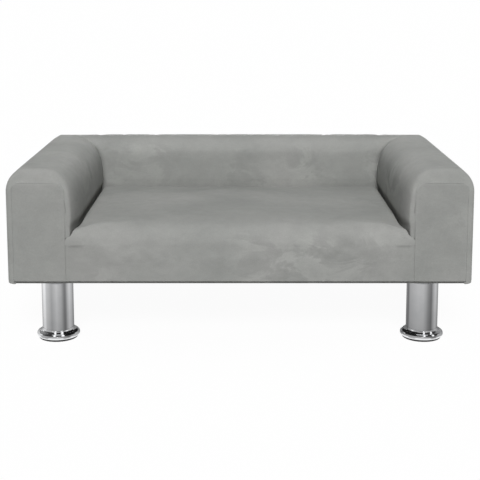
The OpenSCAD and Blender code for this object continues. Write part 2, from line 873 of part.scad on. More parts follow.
// Countersunk wood screw, head down at the origin
module wood_screw(l) {
    tip = screw_d;
    rotate_extrude()
        polygon([
            [0, 0], [screw_head_r, 0], [screw_d / 2, screw_head_t],
            [screw_d / 2, l - tip], [0, l]
        ]);
}

module base_screws() {
    color(steel_colour)
    along_rails(base_screw_shares) translate([0, 0, base_z]) wood_screw(base_screw_l);
}

module deck_screws() {
    color(steel_colour)
    along_rails(deck_screw_shares) translate([0, 0, deck_top]) mirror([0, 0, 1]) wood_screw(deck_screw_l);
}

module arm_piece(kind) {
    if (kind == "arm_outer_panel") arm_outer_panel();
    if (kind == "arm_inner_panel") arm_inner_panel();
    if (kind == "arm_top_board") arm_top_board();
    if (kind == "arm_front_board") arm_front_board();
    if (kind == "arm_rear_board") arm_rear_board();
    if (kind == "arm_foam") arm_foam();
    if (kind == "arm_front_foam") arm_front_foam();
    if (kind == "arm_rear_foam") arm_rear_foam();
    if (kind == "arm_cover") arm_cover();
    if (kind == "arm_front_cover") arm_front_cover();
}

module leg_piece(kind) {
    if (kind == "leg_tube") leg_tube();
    if (kind == "leg_plate") leg_plate();
    if (kind == "foot_ring") foot_ring();
    if (kind == "glide") glide();
}

base_panel();
front_rail();
centre_rail();
rear_rail();
seat_deck();
back_inner_panel();
back_outer_panel();
back_top_board();
seat_foam();
back_foam();
rear_foam();
seat_cover();
back_cover();
rear_cover();
dust_cover();
leg_bolts();
tee_nuts();
base_screws();
deck_screws();
for (side = sides, kind = arm_kinds)
    on_side(side) arm_piece(kind);
for (corner = corners, kind = leg_kinds)
    at_corner(corner) leg_piece(kind);
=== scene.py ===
import json
import math

import bpy
import numpy as np
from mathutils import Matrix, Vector


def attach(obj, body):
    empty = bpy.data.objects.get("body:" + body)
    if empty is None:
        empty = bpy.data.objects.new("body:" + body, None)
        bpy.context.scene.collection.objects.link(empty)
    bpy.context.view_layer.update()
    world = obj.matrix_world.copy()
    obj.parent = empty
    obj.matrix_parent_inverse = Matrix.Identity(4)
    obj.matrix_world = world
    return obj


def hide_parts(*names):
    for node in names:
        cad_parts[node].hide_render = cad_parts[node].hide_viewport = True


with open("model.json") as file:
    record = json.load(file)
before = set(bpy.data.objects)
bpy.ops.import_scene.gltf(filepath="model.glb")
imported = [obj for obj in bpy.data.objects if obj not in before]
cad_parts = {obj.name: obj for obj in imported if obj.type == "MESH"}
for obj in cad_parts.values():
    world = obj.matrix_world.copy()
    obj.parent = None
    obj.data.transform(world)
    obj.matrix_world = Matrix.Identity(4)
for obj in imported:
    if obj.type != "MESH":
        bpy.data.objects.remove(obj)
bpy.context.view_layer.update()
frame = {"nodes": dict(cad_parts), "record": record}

MM = 0.001

# Sizes of the part, in millimetres, as in its source
BODY_W, BODY_D, BODY_H, LEG_H = 700, 400, 176, 92
ARM_W, OUTER_R, FRONT_EDGE = 107, 36, 18
BACK_T, SEAT_H = 76, 89
REAR_EDGE, REAR_TOP, REAR_SIDE = 36, 30, 15
UNDERWRAP, DUST_T = 25, 0.8

# Sizes of the velvet's forms, in millimetres: near the source's, with the slack and fullness of cloth
PAD_T = 8    # how deep a pad goes in from its face
SEAM_TOP, SEAM_OUTER, SEAM_INNER = 22, 11.5, 17.8    # the front panels' seam, in from the arm's top and sides
CORNER_R, CORNER_OUT_R = 14, 7    # the corners of that seam
ROLL_W, ROLL_H, ROLL_SHAPE = 56, 80, (0.8, 0.65)    # an arm's inner roll, with the powers that square it
TIGHT, TIGHT_FROM = 0.22, 48    # an arm's outer roll: its radius' share from that many degrees on
FLARE, FLARE_Y, FLARE_RUN = 8.3, -150, 46    # an arm's inner face, turned outward in front of FLARE_Y
UNDERCUT, UNDERCUT_Z, UNDERCUT_RUN = 4, 193, 13    # the same face, drawn back under UNDERCUT_Z
BACK_BULGE, BACK_R = 4.8, 25
SEAT_CROWN, SEAT_ROLL, SEAT_ROLL_END, SEAT_ROLL_H = 4.0, 26, 13, 30
SEAT_EDGE_W, SEAT_EDGE_D, SEAT_REAR_R = 3.5, 4, 3
END_RUN, APRON_RISE = 30, 12    # how far from its ends the front roll is full, and how far up it is still flat
SAG, SAG_Y, SAG_RUN = 7.5, -90, 110    # the seat's front corners, lower in front of SAG_Y
CLOSE_Y, CLOSE_RUN = -160, 40    # where the gap between seat and arm closes
TUCK_D, TUCK_SLOPE = 21, 8    # how far under the seat's top the arms and the back go on
REAR_SHAPE, REAR_INNER_IN, REAR_SINK = (0.4, 0.65), 1.8, 1.4    # the rolled rear edge and its last row
FALL, FALL_Y, FALL_RUN, FALL_BAND = 3.2, 110, 90, 60    # the tops, lower behind FALL_Y, down to FALL_BAND
HEM_R, HEM_LIP, HEM_STEP, HEM_POINTS = 1.5, 3.4, 4.0, 12    # the lower edge, see hem_profile
SEAM_GAP, CREASE_GAP, SEAT_GAP = 0.06, 0.4, 5.2
APART = 0.05    # rows that would meet keep this share of their distance

HALF_W, HALF_D = BODY_W / 2, BODY_D / 2
CREST_Z = LEG_H + BODY_H
HEM_Z = LEG_H + DUST_T
SEAT_Z = LEG_H + SEAT_H
APRON_Z = SEAT_Z - SEAT_ROLL_H
TUCK_Z = SEAT_Z - TUCK_D
INNER_X = HALF_W - ARM_W
FACE_X = INNER_X + 1
ROLL_CX, ROLL_CZ = FACE_X + ROLL_W, CREST_Z - ROLL_H
SEAM_X = INNER_X + SEAM_INNER
BACK_Y = HALF_D - BACK_T
FRONT_C, REAR_C = -HALF_D + FRONT_EDGE, HALF_D - REAR_EDGE
OUTER_CZ = CREST_Z - OUTER_R

scene = bpy.context.scene


# Camera

def add_camera():
    data = bpy.data.cameras.new("camera")
    data.sensor_width = 36
    data.lens = 81.09
    data.shift_y = -0.2
    camera = bpy.data.objects.new("camera", data)
    camera.location = (0, -1.772, 0.5403)
    camera.rotation_euler = (math.radians(90 - 8.5), 0, 0)
    scene.collection.objects.link(camera)
    scene.camera = camera


# Small helpers

def steps(a, b, n, first=True):
    """n even steps from a to b, with or without a itself."""
    return [a + (b - a) * k / n for k in range(0 if first else 1, n + 1)]


def closed_grid(name, outer, inner):
    """A closed form between two grids of points with the same rows, in millimetres."""
    outer, inner = np.asarray(outer, float), np.asarray(inner, float)
    nu, nv = outer.shape[:2]
    n = nu * nv
    points = np.concatenate([outer.reshape(-1, 3), inner.reshape(-1, 3)]) * MM
    faces = []
    for i in range(nu - 1):
        for j in range(nv - 1):
            a, b, c, d = i * nv + j, (i + 1) * nv + j, (i + 1) * nv + j + 1, i * nv + j + 1
            faces.append((a, b, c, d))
            faces.append((n + d, n + c, n + b, n + a))
    for i in range(nu - 1):
        a, b = i * nv, (i + 1) * nv
        faces.append((a, n + a, n + b, b))
        a, b = i * nv + nv - 1, (i + 1) * nv + nv - 1
        faces.append((b, n + b, n + a, a))
    for j in range(nv - 1):
        a, b = j, j + 1
        faces.append((b, n + b, n + a, a))
        a, b = (nu - 1) * nv + j, (nu - 1) * nv + j + 1
        faces.append((a, n + a, n + b, b))
    mesh = bpy.data.meshes.new(name)
    mesh.from_pydata([tuple(p) for p in points], [], faces)
    mesh.update()
    if signed_volume(mesh) < 0:
        mesh.flip_normals()
    mesh.shade_smooth()
    obj = bpy.data.objects.new(name, mesh)
    scene.collection.objects.link(obj)
    return obj


def signed_volume(mesh):
    mesh.calc_loop_triangles()
    co = np.empty(len(mesh.vertices) * 3)
    mesh.vertices.foreach_get("co", co)
    co = co.reshape(-1, 3)
    tri = np.array([t.vertices[:] for t in mesh.loop_triangles])
    a, b, c = co[tri[:, 0]], co[tri[:, 1]], co[tri[:, 2]]
    return float(np.einsum("ij,ij->i", a, np.cross(b, c)).sum())


def fall_back(grid):
    """The tops of the arms and the back, lowered gently towards the rear."""
    grid = np.array(grid, float)
    far = np.clip((grid[..., 1] - FALL_Y) / FALL_RUN, 0, None) ** 1.5
    grid[..., 2] -= FALL * far * np.clip((grid[..., 2] - CREST_Z + FALL_BAND) / FALL_BAND, 0, 1)
    return grid


def mirrored(grid):
    grid = np.array(grid, float)
    grid[..., 0] *= -1
    return grid


SETTLE_FRAMES = 20


def settle(obj, pressure, cap_mm, free):
    """Lets the velvet of a pad fill out under pressure, by up to cap_mm.

    free says for each outer point how freely it moves, 0 to 1.
    """
    mesh = obj.data
    count = len(mesh.vertices)
    start = np.empty(count * 3)
    mesh.vertices.foreach_get("co", start)
    start = start.reshape(-1, 3)
    moves = np.zeros(count)
    moves[:len(free)] = free
    group = obj.vertex_groups.new(name="held")
    for k in np.nonzero(moves < 0.999)[0]:
        group.add([int(k)], float(1 - moves[k]), "REPLACE")
    cloth = obj.modifiers.new("cloth", "CLOTH")
    s = cloth.settings
    s.quality = 5
    s.mass = 0.25
    s.tension_stiffness = s.compression_stiffness = 12
    s.shear_stiffness = 8
    s.bending_stiffness = 0.6
    s.use_pressure = True
    s.uniform_pressure_force = pressure
    s.vertex_group_mass = "held"
    s.shrink_min = -0.012
    s.effector_weights.gravity = 0
    cloth.collision_settings.use_collision = False
    cloth.point_cache.frame_start = 1
    cloth.point_cache.frame_end = SETTLE_FRAMES
    for k in range(1, SETTLE_FRAMES + 1):
        scene.frame_set(k)
    shaped = obj.evaluated_get(bpy.context.evaluated_depsgraph_get())
    end = np.empty(count * 3)
    shaped.data.vertices.foreach_get("co", end)
    end = end.reshape(-1, 3)
    move = end - start
    length = np.linalg.norm(move, axis=1, keepdims=True)
    cap = cap_mm * MM
    move *= cap / (cap + length)
    move[len(free):] = 0
    mesh.vertices.foreach_set("co", (start + move).ravel())
    obj.modifiers.remove(cloth)
    obj.vertex_groups.remove(group)
    scene.frame_set(1)
    mesh.update()


def border_freedom(grid, held, width):
    """How freely each point of a grid moves: none on its held borders, all of it a few steps further in.

    held counts the still rows at the first and the last side, then the still columns at the first and last edge.
    """
    nu, nv = grid.shape[:2]
    i = np.arange(nu)[:, None].astype(float)
    j = np.arange(nv)[None, :].astype(float)
    free = np.ones((nu, nv))
    for near, still in zip((i, nu - 1 - i, j, nv - 1 - j), held):
        free = free * np.clip((near - still) / width, 0, 1) * np.ones((nu, nv))
    return free.ravel()


# Arms

def inner_shape(top, inner):
    """Centre and radii of the rolled top of an arm's inner side, for its insets."""
    return ROLL_CX, ROLL_CZ, ROLL_W - inner, ROLL_H - top, *ROLL_SHAPE


def flare(y):
    """How far the arm's inner face turns outward towards the front."""
    return FLARE * max(0, (FLARE_Y - y) / FLARE_RUN) ** 2.2


def undercut(z, share=1.0):
    """How far the arm's inner face draws back just over the seat."""
    return share * UNDERCUT * min(1, max(0, (UNDERCUT_Z - z) / UNDERCUT_RUN)) ** 2


def hem_profile(layer, step=1.0):
    """The lower edge of the velvet as (depth behind the face, z): turned under, then set back below its lip."""
    if layer:
        return [(layer, HEM_Z + layer + 0.02 * k) for k in range(HEM_POINTS)]
    turns = steps(-math.pi / 2, 0, 3)
    path = [(HEM_STEP + HEM_R * (1 - math.cos(a)), HEM_Z + HEM_R * (1 + math.sin(a))) for a in turns]
    path += [(HEM_STEP, HEM_Z + 2.1), (HEM_STEP, HEM_Z + HEM_LIP - 0.5), (HEM_STEP - 0.4, HEM_Z + HEM_LIP)]
    path += [(1.6, HEM_Z + HEM_LIP + 0.05), (0.5, HEM_Z + HEM_LIP + 0.4), (0.12, HEM_Z + HEM_LIP + 1)]
    path += [(0, HEM_Z + HEM_LIP + 1.9), (0, HEM_Z + HEM_LIP + 3.2)]
    turned = [max(0, HEM_R - (z - HEM_Z)) ** 2 / HEM_R for _, z in path]
    return [(d * step + (1 - step) * r, z) for (d, z), r in zip(path, turned)]


def outer_shape(top, outer, r=OUTER_R, tight=1.0):
    """Centre and radii of an arm's outer roll, for its insets, and how tight its upper half is."""
    rx, rz = max(r - outer, CORNER_OUT_R), max(r - top, CORNER_OUT_R)
    return HALF_W - outer - rx, CREST_Z - top - rz, rx, rz, tight


def outer_roll_points(roll):
    """An arm's outer roll from its side to its top: a circle, then straight on, then a tighter round."""
    cx, cz, rx, rz, tight = roll
    small = 1 - (1 - TIGHT) * tight
    turn = math.radians(TIGHT_FROM)
    shift = (1 - small) * (1 - math.sin(turn)) / math.cos(turn)
    round_part = [(math.cos(a), math.sin(a)) for a in steps(0, turn, 8, False)]
    turns = steps(turn + 0.002, math.pi / 2, 7)    # a little on, so that no two points coincide
    tight_part = [(shift + small * math.cos(a), 1 - small + small * math.sin(a)) for a in turns]
    return [(cx + rx * u, cz + rz * v) for u, v in round_part + tight_part]


def arm_section(y, outer_in, outer_roll, roll, layer, cut=1.0, tuck=TUCK_Z, step=1.0):
    """One section through an arm's wrap, from the edge turned under the body to the edge beside the seat."""
    oz = outer_roll[1]
    cx, cz, rx, rz, px, pz = roll
    y_in = min(y, HALF_D - REAR_INNER_IN + APART * (y - HALF_D + REAR_INNER_IN))
    hem = hem_profile(layer, step)
    hem_x = HALF_W - outer_in - (hem[0][0] if layer == 0 else 0)
    y_under = max(y, -HALF_D + HEM_STEP + 1 + APART * (y + HALF_D))
    points = [(x, y_under, HEM_Z + layer) for x in steps(HALF_W - UNDERWRAP, hem_x - 1, 4)]
    points += [(HALF_W - outer_in - (d if layer == 0 else 0), y, z) for d, z in hem]
    x_side = HALF_W - outer_in
    points += [(x_side, y, z) for z in steps(points[-1][2], oz, 26, False)]
    points += [(x, y, z) for x, z in outer_roll_points(outer_roll)]
    top_x, top_z = points[-1][0], points[-1][2]
    points += [(x, y, top_z) for x in steps(top_x, cx, 5, False)]
    for a in steps(math.pi / 2, math.radians(7), 18, False):
        z = cz + rz * max(0, math.sin(a)) ** pz
        points.append((cx - rx * max(0, math.cos(a)) ** px + undercut(z, cut), y_in, z))
    points += [(cx - rx + undercut(z, cut), y_in, z) for z in steps(points[-1][2], tuck, 13, False)]
    return np.array(points)


# The rolled front edge of an arm, from its crest to its seam: (depth behind the front, top, outer and inner inset)
FRONT_ROLL = [
    (18, 0, 0, 0), (15.5, 0.1, 0.15, 0), (13, 0.35, 0.45, 0), (10.4, 1.0, 0.9, 0), (8.4, 2.1, 1.4, 0),
    (6.9, 3.7, 1.9, 0), (5.8, 5.7, 2.5, 0), (4.9, 8.0, 3.1, 0), (4.0, 10.5, 3.9, 0.2), (3.2, 12.9, 4.8, 0.9),
    (2.4, 15.3, 5.9, 2.2), (1.6, 17.6, 7.3, 4.0), (0.8, 19.8, 9.2, 6.1)
]


def front_section(depth, top, outer, inner, layer):
    """A section of an arm's rolled front edge."""
    y = -HALF_D + layer + depth * (1 - layer / FRONT_EDGE)
    share = depth / FRONT_EDGE
    top_in = top + layer * (1 - top / SEAM_TOP)
    outer_in = outer + layer * (1 - outer / SEAM_OUTER)
    inner_in = inner + layer + (1 - layer / 40) * flare(-HALF_D + depth)
    r = CORNER_OUT_R + (OUTER_R - CORNER_OUT_R) * (1 - top / SEAM_TOP) ** 0.6 + max(top, outer)
    tuck = TUCK_Z + 2.5 * max(0, 1 - depth / 4)
    outer_roll = outer_shape(top_in, outer_in, min(OUTER_R, r), max(0, 1 - top / SEAM_TOP))
    return arm_section(y, outer_in, outer_roll, inner_shape(top_in, inner_in),
                       layer, 0.3 + 0.7 * share, tuck, max(0, share - 0.4) / 0.6)


def rear_section(t, layer):
    """A section of an arm's rolled rear edge, t from a right angle at its crest to 0 at its seam."""
    y = REAR_C + (REAR_EDGE - layer) * max(0, math.cos(t)) ** REAR_SHAPE[0]
    rise = max(0, math.sin(t)) ** REAR_SHAPE[1]
    top = REAR_TOP + (layer - REAR_TOP) * rise
    side = REAR_SIDE + (layer - REAR_SIDE) * rise
    return arm_section(y, side, outer_shape(top, side, OUTER_R, rise), inner_shape(top, layer), layer)


def arm_grid(layer):
    """The wrap of an arm, from its front seam over the rolled front edge to its rear seam."""
    seam_roll = (SEAM_X + CORNER_R, CREST_Z - SEAM_TOP - CORNER_R, CORNER_R, CORNER_R, 1, 1)
    outer_roll = outer_shape(SEAM_TOP, SEAM_OUTER, 0, 0)
    seam = arm_section(-HALF_D + layer, SEAM_OUTER, outer_roll, seam_roll, layer, 0, TUCK_Z + 0.4, 0)
    first = front_section(*FRONT_ROLL[-1], layer)
    rows = []
    # the velvet is drawn into the seam and swells a little beside it
    for s, sink in ((0, 0.35), (0.15, 0.12), (0.35, 0.0), (0.65, -0.05)):
        row = seam + (first - seam) * s
        row[:, 1] += sink if layer == 0 else 0
        rows.append(row)
    rows += [front_section(*stage, layer) for stage in FRONT_ROLL[::-1]]
    for y in steps(FRONT_C, REAR_C, 68, False)[:-1]:
        inner = layer + (1 - layer / 40) * flare(y)
        rows.append(arm_section(y, layer, outer_shape(layer, layer), inner_shape(layer, inner), layer))
    rear = [rear_section(t, layer) for t in steps(math.pi / 2, 0, 13)]
    rear[-1][:, 1] -= REAR_SINK
    return fall_back(rows + rear)


def panel_span(z):
    """Left and right edge of an arm's front panel at height z."""
    top = CREST_Z - SEAM_TOP
    left = SEAM_X + SEAM_GAP
    up = max(0, z - (top - CORNER_R)) / CORNER_R
    left += CORNER_R * (1 - math.sqrt(max(0, 1 - up * up)))
    right = HALF_W - SEAM_OUTER - SEAM_GAP
    up = max(0, z - (top - CORNER_OUT_R)) / CORNER_OUT_R
    right -= CORNER_OUT_R * (1 - math.sqrt(max(0, 1 - up * up)))
    return left, right


def pillow(d, sink, width, rise, reach):
    """How far a panel stands out at distance d from its seam: sunk in the seam, full in the middle."""
    return rise * (1 - math.exp(-d / reach)) - sink * math.exp(-((d / width) ** 2))


PANEL_SIDES = (0, 0.4, 1, 2, 3.5)    # where a panel's outer columns lie, from its seam
PANEL_TOPS = (4.5, 3.2, 2, 1.1, 0.4, 0)    # where its upper rows lie, below its seam


def panel_grid(layer, facing, top, span, count, seam):
    """A sewn-in panel that faces the front (-1) or the rear (1).

    span gives its left and right edge at a height, count its steps across and up, seam the last numbers of pillow.
    """
    hem = hem_profile(layer)
    across, up = count
    heights = [z for _, z in hem] + steps(HEM_Z + HEM_LIP + 5, top - 6, up) + [top - k for k in PANEL_TOPS]
    rows = []
    for n, z in enumerate(heights):
        back = hem[n][0] if n < len(hem) else 0
        left, right = span(min(z, top))
        xs = [left + u for u in PANEL_SIDES] + steps(left + 6, right - 6, across)
        xs += [right - u for u in PANEL_SIDES[::-1]]
        row = []
        for x in xs:
            out = pillow(max(0, min(x - left, right - x, top - z)), *seam) - back
            row.append((x, facing * (HALF_D + out if layer == 0 else HALF_D - layer), z))
        rows.append(row)
    return np.array(rows)


def front_panel_grid(layer):
    return panel_grid(layer, -1, CREST_Z - SEAM_TOP - SEAM_GAP, panel_span, (15, 36), (0.35, 0.9, 0.7, 9))


# Back

def back_path(layer):
    """The back's outline from low on its inner face over the top to the rear seam, as (y, z, ny, nz, fade)."""
    path = []
    cy, cz = BACK_Y - BACK_BULGE + BACK_R, CREST_Z - BACK_R
    for z in steps(TUCK_Z, SEAT_Z, 5) + steps(SEAT_Z, SEAT_Z + 15, 6, False) + steps(SEAT_Z + 15, cz, 8, False):
        low = min(1, max(0, (cz - z) / (cz - SEAT_Z)))
        tuck = 1.6 * math.exp(-max(0, z - SEAT_Z) / 6)
        path.append((BACK_Y + layer - BACK_BULGE + (BACK_BULGE + 0.4) * low ** 1.25 + tuck, z, -1, 0, 1))
    r = BACK_R - layer
    for a in steps(0, math.pi / 2, 14, False):
        path.append((cy - r * math.cos(a), cz + r * math.sin(a), -math.cos(a), math.sin(a), math.cos(a) ** 0.7))
    path += [(y, CREST_Z - layer, 0, 1, 0) for y in steps(cy, REAR_C, 3, False)]
    for t in steps(math.pi / 2, 0, 14, False):
        y = REAR_C + (REAR_EDGE - layer) * max(0, math.cos(t)) ** REAR_SHAPE[0]
        z = CREST_Z - REAR_TOP + (REAR_TOP - layer) * max(0, math.sin(t)) ** REAR_SHAPE[1]
        path.append((y, z, math.cos(t), math.sin(t), 0))
    return path


def arm_face_x(y, z, gap):
    """Where the inner side of an arm is at a place on the back."""
    drop = 0
    if y > REAR_C:
        far = min(1, (y - REAR_C) / REAR_EDGE) ** (1 / REAR_SHAPE[0])
        drop = REAR_TOP * (1 - math.sqrt(1 - far * far) ** REAR_SHAPE[1])
    px, pz = ROLL_SHAPE
    up = min(1, max(0, (z - ROLL_CZ) / (ROLL_H - drop + gap))) ** (1 / pz)
    return ROLL_CX - (ROLL_W + gap) * math.sqrt(1 - up * up) ** px + undercut(z)


def spread_shares(n, edges=(0, 0.35, 0.9, 1.8, 3.2, 5.0), half=270.0):
    """Shares from -1 to 1, close together at both ends."""
    left = [-1 + e / half for e in edges]
    middle = steps(left[-1], -left[-1], n, False)[:-1]
    return left + middle + [-s for s in left[::-1]]


def back_grid(layer):
    """The wrap of the back between the arms, sunk in at both ends."""
    rows = []
    outer = back_path(0)
    for share in spread_shares(108):
        row = []
        for (y0, z0, ny, nz, fade), (y, z, _, _, _) in zip(outer, back_path(layer)):
            end = arm_face_x(y0, z0, CREASE_GAP)
            x = share * end
            d = end - abs(x)
            sink = 3.0 * fade * math.exp(-((d / 3.2) ** 2)) if layer == 0 else 0
            row.append((x, y - ny * sink, z - nz * sink))
        rows.append(row)
    rows = np.array(rows)
    if layer == 0:
        rows[:, -1, 1] -= REAR_SINK
    return fall_back(rows)


# Seat

def seat_half_w(y, z):
    """Half the seat's width beside the arms. At the front it widens down to the seam of the front panel."""
    front = max(0, min(1, (FRONT_C - y) / FRONT_EDGE))
    close = max(0, min(1, (CLOSE_Y - y) / CLOSE_RUN)) ** 2
    wide = FACE_X + flare(y) + undercut(z, 1 - 0.7 * front) - SEAT_GAP * (1 - 0.95 * close)
    low = max(0, min(1, (TUCK_Z + TUCK_SLOPE + 1 - z) / TUCK_SLOPE))
    return wide + (SEAM_X - SEAM_GAP - wide) * low


def seat_path(layer, roll):
    """The seat's outline from its edge under the body over the front roll to the rear, as (y, z, ny, nz, edge)."""
    hem = hem_profile(layer)
    path = [(y, HEM_Z + layer, 0, 0, 0) for y in steps(-HALF_D + UNDERWRAP, -HALF_D + hem[0][0] + 1, 4)]
    path += [(-HALF_D + d, z, 0, 0, 0) for d, z in hem]
    path += [(-HALF_D + layer, z, -1, 0, 0) for z in steps(path[-1][1], APRON_Z, 14, False)]
    r, rh = roll - layer, SEAT_ROLL_H - layer
    for a in [math.radians(1)] + steps(0, math.pi / 2, 18, False):
        z = APRON_Z + rh * math.sin(a)
        edge = max(0.001, min(1, (z - APRON_Z - APRON_RISE) / (SEAT_ROLL_H - APRON_RISE)))
        path.append((-HALF_D + roll - r * math.cos(a), z, -math.cos(a), math.sin(a), edge))
    y0, y1 = -HALF_D + roll, BACK_Y - SEAM_GAP - SEAT_REAR_R
    path += [(y, SEAT_Z - layer, 0, 1, 1) for y in steps(y0, y1, 60, False)]
    r = max(SEAT_REAR_R - layer, 0.5)
    for a in steps(0, math.pi / 2, 5, False):
        path.append((y1 + r * math.sin(a), SEAT_Z - layer - r * (1 - math.cos(a)), 0, 1, 1))
    return path


def crown(x, y, w):
    """How far the seat's top swells at a place, w being half its width there."""
    y0, y1 = -HALF_D + SEAT_ROLL, BACK_Y - SEAT_REAR_R
    u = (2 * y - y0 - y1) / (y1 - y0)
    return SEAT_CROWN * max(0, 1 - abs(u) ** (5 if u < 0 else 2)) * max(0, 1 - (x / w) ** 2)


def seat_grid(layer):
    """The seat with its front. Its sides turn down by degrees, then go straight down (deep)."""
    sides = [(90, deep) for deep in (12, 8, 4, 1.5, 0)] + [(degrees, 0) for degrees in (72, 54, 36, 18)]
    columns = [(-1, *side) for side in sides]
    columns += [(s, 0, 0) for s in steps(-1, 1, 100)]
    columns += [(1, *side) for side in sides[::-1]]
    rows = []
    for share, degrees, deep in columns:
        t = math.radians(degrees)
        row = []
        inward = min(1, (1 - abs(share)) * FACE_X / END_RUN)
        roll = SEAT_ROLL_END + (SEAT_ROLL - SEAT_ROLL_END) * inward * inward * (3 - 2 * inward)
        for y, z, ny, nz, edge in seat_path(layer, roll):
            sag = SAG * max(0, (SAG_Y - y) / SAG_RUN) ** 2.2 * max(0, 1 - inward) ** 1.5
            drop = edge * ((SEAT_EDGE_D - min(layer, 2)) * (1 - math.cos(t)) + deep)
            if edge > 0:
                w = seat_half_w(y - ny * min(drop, 5), z)
            else:
                w = SEAM_X - SEAM_GAP
            x = share * (w - SEAT_EDGE_W + (SEAT_EDGE_W - min(layer, 1)) * math.sin(t))
            sink = 0
            if edge == 0:
                sink = 0.45 * math.exp(-(((w - abs(x)) / 0.9) ** 2)) + 0.1 * deep
            lift = edge * crown(x, y, w) if layer == 0 else 0
            apart = 0 if ny or nz else (0.02 if layer == 0 else 0.0013) * deep
            row.append((x, y - ny * drop + (sink if ny else 0), z - nz * drop + lift - edge * sag + apart))
        rows.append(row)
    return np.array(rows)


# Rear panel

def rear_span(z):
    """Left and right edge of the rear panel at height z."""
    rx, rz = OUTER_R - REAR_SIDE, OUTER_R - REAR_TOP
    up = max(0, z - OUTER_CZ) / rz
    half = HALF_W - REAR_SIDE - SEAM_GAP - rx * (1 - math.sqrt(max(0, 1 - up * up)))
    return -half, half


def rear_grid(layer):
    top = CREST_Z - REAR_TOP - SEAM_GAP
    return fall_back(panel_grid(layer, 1, top, rear_span, (120, 30), (0.6, 1.0, 0.8, 14)))


# Dust cover with its staples

DUST_X, DUST_FRONT, DUST_REAR = 341, -189, 186
CLOTH_TOP, CLOTH_T = 0.65, 0.45
LEG_X, LEG_Y, LEG_CLEAR = 280, 163, 30
STAPLE_L, STAPLE_W, STAPLE_LOW, STAPLE_HIGH, STAPLE_EDGE = 10.4, 1.2, 0.55, 0.1, 0.18
STAPLE_IN, STAPLE_LEG = 9, 36    # how far in from the cover's edge, and how far clear of a leg's middle


def dust_sag(x, y):
    """How far the dust cover hangs at a place, held along its edge and round the legs."""
    edge = min(DUST_X - abs(x), y - DUST_FRONT, DUST_REAR - y)
    leg = max(0, math.hypot(abs(x) - LEG_X, abs(y) - LEG_Y) - LEG_CLEAR)
    wave = 0.5 + 0.5 * math.sin(x * 0.045 + 1.3 * math.sin(y * 0.02)) * math.cos(y * 0.038 + 0.6)
    return (1 - math.exp(-edge / 45)) * (1 - math.exp(-leg / 40)) * (0.7 + 0.9 * wave)


def dust_grid():
    """The upper and the lower face of the dust cover."""
    rows_up, rows_down = [], []
    for x in steps(-DUST_X, DUST_X, 96):
        line = [(x, y, LEG_H + CLOTH_TOP - dust_sag(x, y)) for y in steps(DUST_FRONT, DUST_REAR, 54)]
        rows_up.append(line)
        rows_down.append([(px, py, pz - CLOTH_T) for px, py, pz in line])
    return np.array(rows_up), np.array(rows_down)


def staple_mesh():
    """Staples along the edge of the dust cover, each a flat bar of wire with its lower edges bevelled."""
    points, faces = [], []

    def bar(cx, cy, along_x):
        hx, hy = (STAPLE_L / 2, STAPLE_W / 2) if along_x else (STAPLE_W / 2, STAPLE_L / 2)
        z0, z1 = LEG_H - STAPLE_LOW, LEG_H - STAPLE_HIGH
        base = len(points)
        for z, s in ((z0, STAPLE_EDGE), (z0 + STAPLE_EDGE, 0), (z1, 0)):
            for sx, sy in ((-1, -1), (1, -1), (1, 1), (-1, 1)):
                points.append(((cx + sx * (hx - s)) * MM, (cy + sy * (hy - s)) * MM, z * MM))
        faces.append((base + 3, base + 2, base + 1, base))
        faces.append((base + 8, base + 9, base + 10, base + 11))
        for level in (0, 4):
            for k in range(4):
                a, b = base + level + k, base + level + (k + 1) % 4
                faces.append((a, b, b + 4, a + 4))

    def clear(x, y):
        return math.hypot(abs(x) - LEG_X, abs(y) - LEG_Y) > STAPLE_LEG

    for x in steps(-DUST_X + 18, DUST_X - 18, 18):
        for y in (DUST_FRONT + STAPLE_IN, DUST_REAR - STAPLE_IN):
            if clear(x, y):
                bar(x, y, True)
    for y in steps(DUST_FRONT + 30, DUST_REAR - 30, 8):
        for x in (-DUST_X + STAPLE_IN, DUST_X - STAPLE_IN):
            if clear(x, y):
                bar(x, y, False)
    mesh = bpy.data.meshes.new("dust_cover_staples")
    mesh.from_pydata(points, [], faces)
    mesh.update()
    obj = bpy.data.objects.new("dust_cover_staples", mesh)
    scene.collection.objects.link(obj)
    return obj


# Materials

def new_material(name):
    material = bpy.data.materials.new(name)
    material.use_nodes = True
    nodes, links = material.node_tree.nodes, material.node_tree.links
    return material, nodes, links, nodes["Principled BSDF"]


def noise_node(nodes, links, where, scale, detail=3, rough=0.5, distortion=0.0):
    node = nodes.new("ShaderNodeTexNoise")
    node.inputs["Scale"].default_value = scale
    node.inputs["Detail"].default_value = detail
    node.inputs["Roughness"].default_value = rough
    node.inputs["Distortion"].default_value = distortion
    links.new(where, node.inputs["Vector"])
    return node


def ramp_node(nodes, links, value, stops):
    node = nodes.new("ShaderNodeValToRGB")
    elements = node.color_ramp.elements
    while len(elements) < len(stops):
        elements.new(0.5)
    for element, (place, colour) in zip(elements, stops):
        element.position = place
        element.color = (*colour, 1) if len(colour) == 3 else colour
    links.new(value, node.inputs["Fac"])
    return node


def greys(*stops):
    """Stops of a ramp from pairs of a place and a tone."""
    return [(place, (tone, tone, tone)) for place, tone in stops]


def bump_node(nodes, links, height, strength, distance, under=None):
    """Relief from a noise node, on top of another relief if there is one."""
    node = nodes.new("ShaderNodeBump")
    node.inputs["Strength"].default_value = strength
    node.inputs["Distance"].default_value = distance
    links.new(height.outputs["Fac"], node.inputs["Height"])
    if under:
        links.new(under, node.inputs["Normal"])
    return node.outputs["Normal"]


def math_node(nodes, links, operation, a, b):
    node = nodes.new("ShaderNodeMath")
    node.operation = operation
    links.new(a, node.inputs[0])
    if isinstance(b, (int, float)):
        node.inputs[1].default_value = b
    else:
        links.new(b, node.inputs[1])
    return node.outputs[0]


